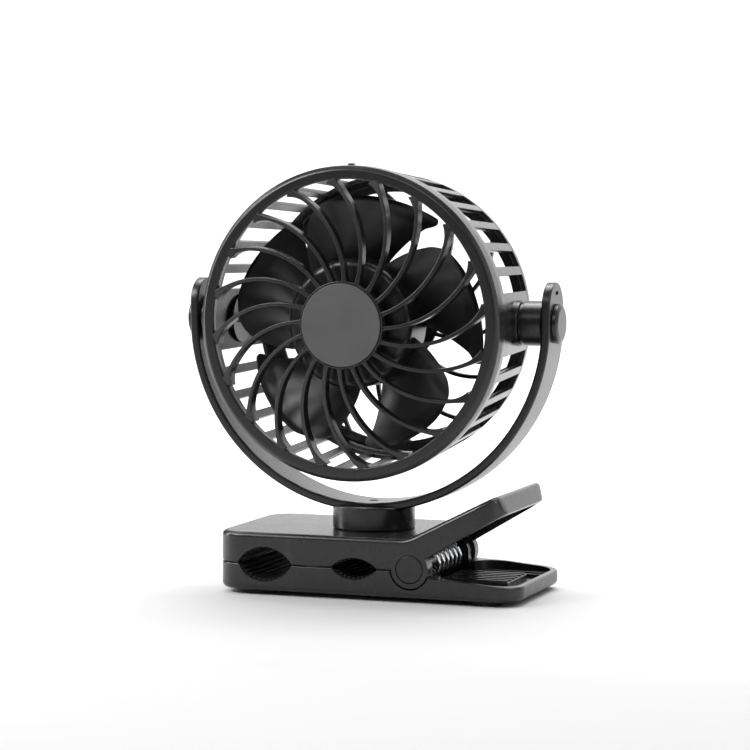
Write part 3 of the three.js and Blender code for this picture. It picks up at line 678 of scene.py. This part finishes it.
def impeller():
    back = FAN_HUB_FRONT + 26
    hub = lathe(
        [
            (2, FAN_HUB_FRONT, 0.2),
            (FAN_HUB_R, FAN_HUB_FRONT, 4.2),
            (FAN_HUB_R, back, 0.5),
            (FAN_HUB_R - 2, back, 0.5),
            (FAN_HUB_R - 2, FAN_HUB_FRONT + 2.6, 2.5),
            (6, FAN_HUB_FRONT + 2.6, 0.5),
            (6, FAN_HUB_FRONT + 15, 0.5),
            (2, FAN_HUB_FRONT + 15, 0.2),
        ],
        "y",
        120,
    )
    one = blade()
    blades = [turned(one, "y", 360 / BLADES * i) for i in range(BLADES)]
    pieces = [hub, *blades]
    emit("impeller_look", pieces, HEAD, LOOKS["blade_plastic"], "rotor", ["impeller"])


# ---------------------------------------------------------------- yoke and column
def yoke_band():
    """A flat band bent into a U, with rounded edges and rounded arm ends."""
    rings = []

    def ring(inner, outer, half):
        """inner and outer are points in x, z; half is the half depth there."""
        soft = min(1.2, half * 0.9)
        full = Vector((outer[0] - inner[0], outer[1] - inner[1])).length
        shape = rounded([(0, -half, soft), (full, -half, soft), (full, half, soft), (0, half, soft)], 4)
        u = Vector((outer[0] - inner[0], outer[1] - inner[1])) / full
        return [(inner[0] + u.x * d, y, inner[1] + u.y * d) for d, y in shape]

    h = YOKE_HALF_DEPTH

    def half_at(z):
        below_top = ARM_TOP - z
        return h if below_top >= h else math.sqrt(max(0.36, h * h - (h - below_top) ** 2))

    heights = [ARM_TOP - h * (1 - math.cos(math.pi / 2 * s / 12)) for s in range(13)] + [4.0, 0.0]
    for z in heights:
        rings.append(ring((-YOKE_INNER_R, z), (-YOKE_OUTER_R, z), half_at(z)))
    steps = 96
    for s in range(1, steps):
        a = math.pi + math.pi * s / steps
        inner = (YOKE_INNER_R * math.cos(a), YOKE_INNER_R * math.sin(a))
        outer = (YOKE_OUTER_R * math.cos(a), YOKE_OUTER_R * math.sin(a))
        rings.append(ring(inner, outer, h))
    for z in reversed(heights):
        rings.append(ring((YOKE_INNER_R, z), (YOKE_OUTER_R, z), half_at(z)))
    return skin(rings)


def stadium(half_length, half_height, steps=8):
    right = arc(half_length - half_height, 0, half_height, -90, 90, steps)
    left = arc(-half_length + half_height, 0, half_height, 90, 270, steps)
    return right + left


def yoke():
    steps = []
    for side in (-1, 1):
        hole = disc(PIN_R + GAP, side * 90, side * 105, "x", 32)
        outline = [(y, z + 15.6) for y, z in stadium(2.5, 0.9)]
        slot = prism(outline, "x", side * (YOKE_OUTER_R - 0.8), side * (YOKE_OUTER_R + 2))
        steps += [("cut", hole), ("cut", slot)]
    steps.append(("cut", disc(2.5, -110, -80, "z", 32)))
    band = carved(yoke_band(), *steps)
    emit("yoke_frame_look", [band], HEAD, BLACK, "yoke", ["yoke_frame"])
    for word, side in (("left", -1), ("right", 1)):
        start = BOSS_END + GAP
        spacer = lathe(
            [
                (PIN_R + GAP, side * start),
                (BOSS_R - 0.9, side * start, 0.2),
                (BOSS_R - 0.9, side * (start + 1.4), 0.2),
                (BOSS_R, side * (start + 1.6), 0.5),
                (BOSS_R, side * (YOKE_INNER_R - 1), 0.4),
                (PIN_R + GAP, side * (YOKE_INNER_R - 1)),
            ],
            "x",
            72,
        )
        node_name = "pivot_spacer_" + word
        emit("pivot_spacer_look_" + word, [spacer], HEAD, BLACK, "yoke", [node_name])
        seat = YOKE_OUTER_R + GAP
        cap = lathe(
            [
                (0, side * CAP_FACE),
                (CAP_R - 2.4, side * CAP_FACE, 3.0),
                (CAP_R - 0.2, side * (CAP_FACE - 0.7), 0.8),
                (CAP_R, side * seat, 0.2),
                (5.6, side * seat, 0.2),
                (5.6, side * (YOKE_OUTER_R + 1.9)),
                (0, side * (YOKE_OUTER_R + 1.9)),
            ],
            "x",
            72,
        )
        emit("yoke_cap_look_" + word, [cap], HEAD, BLACK, "yoke", ["yoke_cap_" + word])


def column():
    body = lathe(
        [
            (3, CLIP_TOP - 2.2),
            (SPIGOT_R, CLIP_TOP - 2.2, 0.3),
            (SPIGOT_R, CLIP_TOP + 1.8),
            (COLUMN_R - 3, CLIP_TOP + 1.8),
            (COLUMN_R - 3, CLIP_TOP + GAP),
            (COLUMN_R, CLIP_TOP + GAP, 0.6),
            (COLUMN_R, COLUMN_TOP, 0.8),
            (3, COLUMN_TOP),
        ],
        "z",
        120,
    )
    seat = disc(YOKE_OUTER_R + GAP, -YOKE_HALF_DEPTH - GAP, YOKE_HALF_DEPTH + GAP, "y", 240)
    shape = carved(body, ("cut", moved(seat, z=PIVOT.z)))
    emit("swivel_column_look", [shape], BASE, BLACK, "yoke", ["swivel_column"])


# ---------------------------------------------------------------- clip
def handle_top(x):
    return CLIP_TOP + (x - HANDLE_START) * HANDLE_SLOPE


def bow(groove, sign, offset, trim, steps):
    """One side of an oval groove, above (1) or below (-1) the parting line, moved outwards by offset."""
    height = groove["up"] if sign > 0 else groove["down"]
    radius = (groove["half"] ** 2 + height**2) / (2 * height)
    drop = radius - height
    reach = math.degrees(math.acos((drop + trim) / (radius + offset)))
    start, end = sign * (90 + reach), sign * (90 - reach)
    return arc(groove["x"], PARTING - sign * drop, radius + offset, start, end, steps)


def plan(x0, x1, half_w, radius, steps=8):
    corners = [(x0, -half_w), (x1, -half_w), (x1, half_w), (x0, half_w)]
    return rounded([(x, y, radius) for x, y in corners], steps)


def moulded_block(stations, x0, x1, half_w, corner, over_r, under_r):
    """A block with a rounded plan and filleted top and bottom edges. stations are (x, z under, z over)."""

    def half_at(x, inset):
        end = min(x - x0, x1 - x)
        inset = max(0, min(inset, end))
        if end >= corner:
            return half_w - inset, inset
        root = (corner - inset) ** 2 - (corner - end) ** 2
        return half_w - corner + math.sqrt(max(root, 0)), inset

    def drop(inset, radius):
        return radius - math.sqrt(max(0, radius**2 - max(0, radius - inset) ** 2))

    arcs = 6
    rings = []
    for x, under, over in stations:
        room = min(1, 0.98 * (over - under) / (over_r + under_r))
        half = []
        for radius, sign, base in ((under_r, 1, under), (over_r, -1, over)):
            edge = []
            y, inset = half_at(x, radius)
            edge.append((0, base + sign * room * drop(inset, radius)))
            for k in range(arcs + 1):
                wanted = radius * (1 - math.sin(math.pi / 2 * k / arcs))
                y, inset = half_at(x, wanted)
                edge.append((y, base + sign * room * drop(inset, radius)))
            half.append(edge if sign > 0 else edge[::-1])
        right = half[0] + half[1]
        rings.append([(x, y, z) for y, z in right] + [(x, -y, z) for y, z in reversed(right[1:-1])])
    return skin(rings)


def spaced(points, x0, x1, pitch, fine):
    """Station places from x0 to x1: even, closer at both ends, and at every given point."""
    places = {round(x0 + fine * (k / 12) ** 2, 4) for k in range(13)}
    places |= {round(x1 - fine * (k / 12) ** 2, 4) for k in range(13)}
    count = round((x1 - x0 - 2 * fine) / pitch)
    places |= {round(x0 + fine + (x1 - x0 - 2 * fine) * k / count, 4) for k in range(count + 1)}
    near = sorted(p for p in places if all(abs(p - q) > pitch * 0.25 for q in points))
    return sorted([*near, *points])


def follow(line, x):
    """Height of a line of (x, z) points at x."""
    for (xa, za), (xb, zb) in zip(line, line[1:]):
        if x <= xb:
            return za + (zb - za) * (x - xa) / (xb - xa) if xb > xa else zb
    return line[-1][1]


def groove_cut(groove, sign, half_y):
    """Cutter for a groove's mouth, with a flared edge where it breaks through the clip's side."""
    stations = ((-half_y - 0.6, 0.8), (-half_y + 0.5, 0.0), (half_y - 0.5, 0.0), (half_y + 0.6, 0.8))
    return skin([[(x, y, z) for x, z in bow(groove, sign, offset, -3, 24)] for y, offset in stations])


def upper_jaw():
    under = PARTING + GAP / 2
    corner = (HANDLE_START, CLIP_TOP)
    tip_top = (HANDLE_TIP, handle_top(HANDLE_TIP))
    tip_end = (HANDLE_END, 46.8)
    over_line = [(JAW_TIP, CLIP_TOP), *arc_blend((JAW_TIP, CLIP_TOP), corner, tip_top, 18)]
    over_line += [*arc_blend(corner, tip_top, tip_end, 2.5), tip_end]
    under_line = [(JAW_TIP, under), (42.2, under), (42.3, 22.5), (HANDLE_END, 46.2)]
    places = spaced([42.2, 42.3, HANDLE_TIP], JAW_TIP, HANDLE_END, 2.2, 12)
    stations = [(x, follow(under_line, x), follow(over_line, x)) for x in places]
    body = moulded_block(stations, JAW_TIP, HANDLE_END + 0.1, HALF_W, CLIP_CORNER, 2.6, 0.9)
    inside = HALF_W - SIDE_WALL
    bay = prism(plan(JAW_TIP + SIDE_WALL, BAY_END, inside, 8), "z", 5, CLIP_TOP - TOP_WALL)
    bay_side = [(23.5, 0), (23.5, 29), (32.2, 29), (76, 51.3), (80, 42), (80, 0)]
    spring_bay = prism(bay_side, "y", -inside, inside)
    bay_plan = prism(plan(15, HANDLE_END - 2.8, inside, 13), "z", 0, 80)
    room = carved(spring_bay, ("keep", bay_plan))
    steps = [("cut", groove_cut(LARGE, 1, HALF_W)), ("cut", groove_cut(SMALL, 1, HALF_W))]
    steps += [("cut", bay), ("cut", room)]
    for side in (-1, 1):
        knuckle = disc(BARREL_R, side * KNUCKLE_START, side * HALF_W, "y", 72, 0.35)
        steps.append(("join", moved(knuckle, HINGE_X, 0, HINGE_Z)))
    for side in (-1, 1):
        recess = disc(HINGE_CAP_R + GAP, side * (HALF_W - 2), side * (HALF_W + 1), "y", 72)
        steps.append(("cut", moved(recess, HINGE_X, 0, HINGE_Z)))
    steps.append(("cut", moved(disc(PIN_R + GAP, -60, 60, "y", 32), HINGE_X, 0, HINGE_Z)))
    steps.append(("cut", disc(SPIGOT_R + GAP, 20, 50, "z", 48)))
    for opening, segments in ((BUTTON, 48), (LED, 24)):
        hole = disc(opening["r"] + GAP, HALF_W - 5, HALF_W + 5, "y", segments)
        steps.append(("cut", moved(hole, opening["x"], 0, opening["z"])))
    port = [(PORT["x"] + x, PORT["z"] + z) for x, z in rounded_box(PORT["w"] / 2, PORT["h"] / 2, 1.7)]
    steps.append(("cut", prism(port, "y", HALF_W - 6, HALF_W + 6)))
    shape = carved(body, *steps)
    emit("upper_jaw_look", [shape], BASE, BLACK, "upper_clip", ["upper_jaw"])


def rounded_box(half_x, half_y, radius):
    corners = [(-half_x, -half_y), (half_x, -half_y), (half_x, half_y), (-half_x, half_y)]
    return rounded([(x, y, radius) for x, y in corners], 5)


def arc_blend(before, corner, after, radius):
    """The points of a rounded corner between two straight lines."""
    return rounded([(*before,), (*corner, radius), (*after,)], 10)[1:-1]


def jaw_cover():
    inside = HALF_W - SIDE_WALL - GAP
    left = JAW_TIP + SIDE_WALL + GAP
    right = BAY_END - GAP

    def face(offset, trim):
        return [
            (left, PARTING + trim),
            *bow(LARGE, 1, offset, trim, 24),
            *bow(SMALL, 1, offset, trim, 20),
            (right, PARTING + trim),
        ]

    outline = face(SEAT_DEPTH, 0.9) + face(SEAT_DEPTH + COVER_THICK, 0.9 + COVER_THICK)[::-1]
    slab = prism(outline, "y", -inside, inside)
    shape = carved(slab, ("keep", prism(plan(left, right, inside, 7.7), "z", 0, 60)))
    emit("upper_jaw_cover_look", [shape], BASE, BLACK, "upper_clip", ["upper_jaw_cover"])


def grip_pad(name, groove, sign, body):
    """A rubber strip with rounded ridges along y, bent into a groove."""
    teeth = 2 * round(groove["half"] / RIDGE_PITCH)
    fine = 8
    count = teeth * fine
    outer = bow(groove, sign, SEAT_DEPTH - GAP, 1, count)
    valleys = bow(groove, sign, 0.9, 1, count)
    tips = bow(groove, sign, -0.8, 1, count)
    inner = []
    for i, (v, t) in enumerate(zip(valleys, tips)):
        rise = abs(math.sin(math.pi * i / fine)) ** 0.8
        inner.append((v[0] + (t[0] - v[0]) * rise, v[1] + (t[1] - v[1]) * rise))
    half = HALF_W - SIDE_WALL - GAP
    outline = [*outer, *inner[::-1]]
    middle = (groove["x"], PARTING - sign * 2)
    rings = []
    for y, shrink in ((-half, 0.006), (-half + 0.3, 0), (half - 0.3, 0), (half, 0.006)):
        rings.append([(x + (middle[0] - x) * shrink, y, z + (middle[1] - z) * shrink) for x, z in outline])
    points, faces = skin(rings)
    side_faces = faces[:-2]
    n = len(outline)
    base = (len(rings) - 1) * n
    for i in range(n // 2 - 1):
        a, b, c, d = i, i + 1, n - 2 - i, n - 1 - i
        side_faces += [(a, b, c, d), (base + a, base + d, base + c, base + b)]
    emit(name + "_look", [(points, side_faces)], BASE, LOOKS["rubber"], body, [name], crease=50)


def lower_jaw():
    over = PARTING - GAP / 2
    over_line = [(JAW_TIP, over), (HINGE_X, over), (44.6, 12.9), (60, 12.3), (75, 10.9), (TRAY_END, 10)]
    places = spaced([HINGE_X, 44.6], JAW_TIP, TRAY_END, 2.2, 12)
    stations = [(x, CLIP_BOTTOM, follow(over_line, x)) for x in places]
    body = moulded_block(stations, JAW_TIP, TRAY_END, HALF_W, CLIP_CORNER, 0.9, 2.9)
    inside = HALF_W - SIDE_WALL
    steps = []
    for groove in (LARGE, SMALL):
        steps.append(("cut", groove_cut(groove, -1, HALF_W)))
        seat = [*bow(groove, -1, SEAT_DEPTH, 0, 24), (groove["x"], PARTING + 3)]
        steps.append(("cut", prism(seat, "y", -inside, inside)))
    tray = tray_cutter(TRAY_START, TRAY_END - 3, inside - 0.6, 13)
    steps.append(("cut", tray))
    steps.append(("cut", box(38, 48, -29, 29, TRAY_FLOOR, TRAY_FLOOR + 20)))
    steps.append(("cut", prism(plan(-68, 86, 37.5, 12), "z", 0, CLIP_BOTTOM + 2)))
    steps.append(("cut", box(-27, -10, -35, 35, 3, 13)))
    steps.append(("cut", moved(disc(RECESS_R, -60, 60, "y", 96), HINGE_X, 0, HINGE_Z)))
    shape = carved(body, *steps)
    extras = [bevelled(box(42, 78, -17, 17, 5.7, 9.3), 0.5)]
    for y in (-14.4, -8.6, -2.9, 2.9, 8.6, 14.4):
        extras.append(bevelled(box(42.5, 77.5, y - 1.1, y + 1.1, 8.4, 10.0), 0.45))
    for y in (-33, -25, 25, 33):
        extras.append(bevelled(box(46, 84, y - 0.8, y + 0.8, 5.8, 8.2), 0.4))
    for side in (-1, 1):
        foot = [(HINGE_X - 9, 5), (HINGE_X + 9, 5), (HINGE_X + 8, 17), (HINGE_X - 8, 17)]
        y0, y1 = sorted((side * EAR[0], side * EAR[1]))
        ear = carved(
            prism(foot, "y", y0, y1),
            ("join", moved(disc(EAR_R, y0, y1, "y", 64), HINGE_X, 0, HINGE_Z)),
            ("cut", moved(disc(PIN_R + GAP, -60, 60, "y", 32), HINGE_X, 0, HINGE_Z)),
        )
        extras.append(bevelled(ear, 0.5, 3, 40))
    emit("lower_jaw_look", [shape, *extras], BASE, BLACK, "base", ["lower_jaw"])


def box(x0, x1, y0, y1, z0, z1):
    return prism([(x0, y0), (x1, y0), (x1, y1), (x0, y1)], "z", z0, z1)


def tray_cutter(x0, x1, half_w, corner):
    """The hollow of the tray: a softly rounded floor edge and straight walls."""
    rings = []
    for k in range(5):
        inset = 1.5 * (1 - math.sin(math.pi / 2 * k / 4))
        z = TRAY_FLOOR + 1.5 * (1 - math.cos(math.pi / 2 * k / 4))
        outline = plan(x0 + inset, x1 - inset, half_w - inset, corner - inset)
        rings.append([(x, y, z) for x, y in outline])
    rings.append([(x, y, 30) for x, y in plan(x0, x1, half_w, corner)])
    return skin(rings)


def base_plate():
    outline = plan(-68 + GAP, 86 - GAP, 37.5 - GAP, 11.7)
    plate = bevelled(prism(outline, "z", CLIP_BOTTOM, CLIP_BOTTOM + 2 - GAP), 0.4)
    emit("base_plate_look", [plate], BASE, BLACK, "base", ["base_plate"])


def hinge_caps():
    for word, side in (("front", -1), ("back", 1)):
        inner = side * (HALF_W - 2 + GAP)
        cap = lathe(
            [(0, inner), (HINGE_CAP_R, inner, 0.2), (HINGE_CAP_R, side * HALF_W, 0.5), (0, side * HALF_W)],
            "y",
            96,
        )
        emit(
            "hinge_cap_look_" + word,
            [moved(cap, HINGE_X, 0, HINGE_Z)],
            BASE,
            BLACK,
            "base",
            ["hinge_cap_" + word],
        )


def feet():
    for i, (x, y) in enumerate(FEET):
        foot = lathe(
            [(0, 0), (FOOT_R, 0, 0.9), (FOOT_R, CLIP_BOTTOM - GAP, 0.3), (0, CLIP_BOTTOM - GAP)],
            "z",
            72,
        )
        name = "rubber_foot_" + str(i + 1)
        emit(name + "_look", [moved(foot, x, y, 0)], BASE, LOOKS["rubber"], "base", [name])


def torsion_spring():
    """A close coil round the hinge pin, one leg down on the tray and one up under the handle."""
    half = SPRING_HALF
    per_turn = 32
    path = [Vector((24, -half, -9.4)), Vector((15, -half, -8.8)), Vector((6, -half, -SPRING_R - 0.3))]
    steps = int(SPRING_TURNS * per_turn)
    for i in range(steps + 1):
        a = math.radians(-90) - 2 * math.pi * i / per_turn
        path.append(Vector((SPRING_R * math.cos(a), -half + 2 * half * i / steps, SPRING_R * math.sin(a))))
    path += [Vector((5, half, SPRING_R + 1.2)), Vector((13, half, 14.2)), Vector((22, half, 21.6))]
    rings = []
    for i, p in enumerate(path):
        ahead = (path[min(i + 1, len(path) - 1)] - path[max(i - 1, 0)]).normalized()
        side = ahead.cross(Vector((0, 1, 0))).normalized()
        up = ahead.cross(side).normalized()
        ring = []
        for k in range(10):
            across = side * (SPRING_WIRE_R * math.cos(k * math.pi / 5))
            ring.append(tuple(p + across + up * (SPRING_WIRE_R * math.sin(k * math.pi / 5))))
        rings.append(ring)
    coil = moved(skin(rings), HINGE_X, 0, HINGE_Z)
    steel = LOOKS["spring_steel"]
    spring = emit("torsion_spring_look", [coil], BASE, steel, None, ["torsion_spring"], 60)
    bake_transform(spring)


def controls():
    face = HALF_W + 1.2
    cap = lathe(
        [
            (0, HALF_W - 1.8),
            (BUTTON["r"], HALF_W - 1.8, 0.2),
            (BUTTON["r"], face, 0.5),
            (2.6, face, 0.3),
            (2.2, face - 0.35, 0.3),
            (0, face - 0.35),
        ],
        "y",
        72,
    )
    stem = disc(1.6, HALF_W - 4, HALF_W - 1.6, "y", 24)
    emit(
        "power_button_look",
        [moved(cap, BUTTON["x"], 0, BUTTON["z"]), moved(stem, BUTTON["x"], 0, BUTTON["z"])],
        BASE,
        LOOKS["button_plastic"],
        "button",
        ["power_button"],
    )
    back = HALF_W - 0.9
    outer = rounded_box(PORT["w"] / 2 - 0.4, PORT["h"] / 2 - 0.3, 1.3)
    inner = rounded_box(PORT["w"] / 2 - 0.8, PORT["h"] / 2 - 0.7, 0.9)
    shell = carved(prism(outer, "y", 36.7, back), ("cut", prism(inner, "y", 37.6, back + 2)))
    tongue = bevelled(box(-2.9, 2.9, 37.2, back - 0.6, -0.35, 0.35), 0.12)
    emit(
        "usb_socket_look",
        [moved(shell, PORT["x"], 0, PORT["z"]), moved(tongue, PORT["x"], 0, PORT["z"])],
        BASE,
        LOOKS["steel"],
        "upper_clip",
        ["usb_socket"],
    )
    profile = [(0, HALF_W - 3.4), (LED["r"], HALF_W - 3.4), (LED["r"], HALF_W - 0.05, 0.4), (0, HALF_W)]
    lens = moved(lathe(profile, "y", 32), LED["x"], 0, LED["z"])
    emit("led_lens_look", [lens], BASE, LOOKS["led_lens"], "upper_clip", ["led_lens"])


front_grille()
rear_housing()
impeller()
yoke()
column()
upper_jaw()
jaw_cover()
lower_jaw()
base_plate()
for pad, groove, sign, body in (
    ("upper_pad_large", LARGE, 1, "upper_clip"),
    ("upper_pad_small", SMALL, 1, "upper_clip"),
    ("lower_pad_large", LARGE, -1, "base"),
    ("lower_pad_small", SMALL, -1, "base"),
):
    grip_pad(pad, groove, sign, body)
hinge_caps()
feet()
torsion_spring()
controls()

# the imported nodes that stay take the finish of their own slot
SLOTS = {row["node"]: row["material_slot"] for row in frame["record"]["subparts"]}
for name, kept in frame["nodes"].items():
    if kept.hide_render:
        continue
    kept.data.materials.clear()
    kept.data.materials.append(LOOKS[SLOTS[name]])


# ---------------------------------------------------------------- floor, light and camera
def floor():
    mesh = bpy.data.meshes.new("floor")
    rows = []
    faces = []
    profile = [(FLOOR_FRONT, 0.0), (FLOOR_BEND, 0.0)]
    for k in range(1, 17):
        a = math.pi / 2 * k / 16
        profile.append((FLOOR_BEND + BEND_R * math.sin(a), BEND_R - BEND_R * math.cos(a)))
    profile.append((FLOOR_BEND + BEND_R, WALL_TOP))
    for y, z in profile:
        rows += [(-FLOOR_HALF_WIDTH, y, z), (FLOOR_HALF_WIDTH, y, z)]
    for i in range(len(profile) - 1):
        faces.append((2 * i, 2 * i + 1, 2 * i + 3, 2 * i + 2))
    mesh.from_pydata(rows, [], faces)
    for face in mesh.polygons:
        face.use_smooth = True
    made = bpy.data.objects.new("floor", mesh)
    bpy.context.scene.collection.objects.link(made)
    grey = (PAPER_GREY, PAPER_GREY, PAPER_GREY)
    paper = moulded("paper", grey, 0.9, 0.02, 900, 0.000002, wear=0.0, specular=0.05, tone=0.004)
    mesh.materials.append(paper)


def panel(name, place, aim, width, height, power):
    light = bpy.data.lights.new(name, "AREA")
    light.shape = "RECTANGLE"
    light.size = width
    light.size_y = height
    light.energy = power
    made = bpy.data.objects.new(name, light)
    made.location = place
    made.rotation_euler = (Vector(aim) - Vector(place)).to_track_quat("-Z", "Y").to_euler()
    bpy.context.scene.collection.objects.link(made)


floor()
world = bpy.data.worlds.new("studio")
world.use_nodes = True
world.node_tree.nodes["Background"].inputs["Color"].default_value = (1, 1, 1, 1)
world.node_tree.nodes["Background"].inputs["Strength"].default_value = WORLD_STRENGTH
bpy.context.scene.world = world
bpy.context.scene.view_settings.view_transform = "Standard"
panel("key", (-0.9, -0.75, 1.0), (0, 0, 0.1), 0.7, 0.7, 16)
panel("left_strip", (-0.85, -0.05, 0.35), (0, 0, 0.12), 0.16, 0.9, 4)
panel("right_strip", (0.95, -0.25, 0.45), (0, 0, 0.12), 0.2, 1.0, 2.5)
panel("top", (0.0, 0.45, 1.3), (0, 0, 0.05), 1.3, 0.9, 21)
panel("front_floor", (0.1, -1.9, 1.7), (0.1, -0.8, 0), 1.4, 0.6, 9)
panel("backdrop", (0, 0.7, 1.6), (0, 2.6, 0.5), 3.2, 1.4, 140)

camera = bpy.data.cameras.new("camera")
camera.lens = LENS
camera.sensor_width = 36
camera.clip_start = 0.05
camera.clip_end = 30
eye = bpy.data.objects.new("camera", camera)
eye.location = (EYE[0], EYE[1] + CENTRE_Y / 1000, EYE[2])
eye.rotation_euler = (math.pi / 2 + math.radians(EYE_TILT), 0, math.radians(EYE_AZIMUTH))
bpy.context.scene.collection.objects.link(eye)
bpy.context.scene.camera = eye
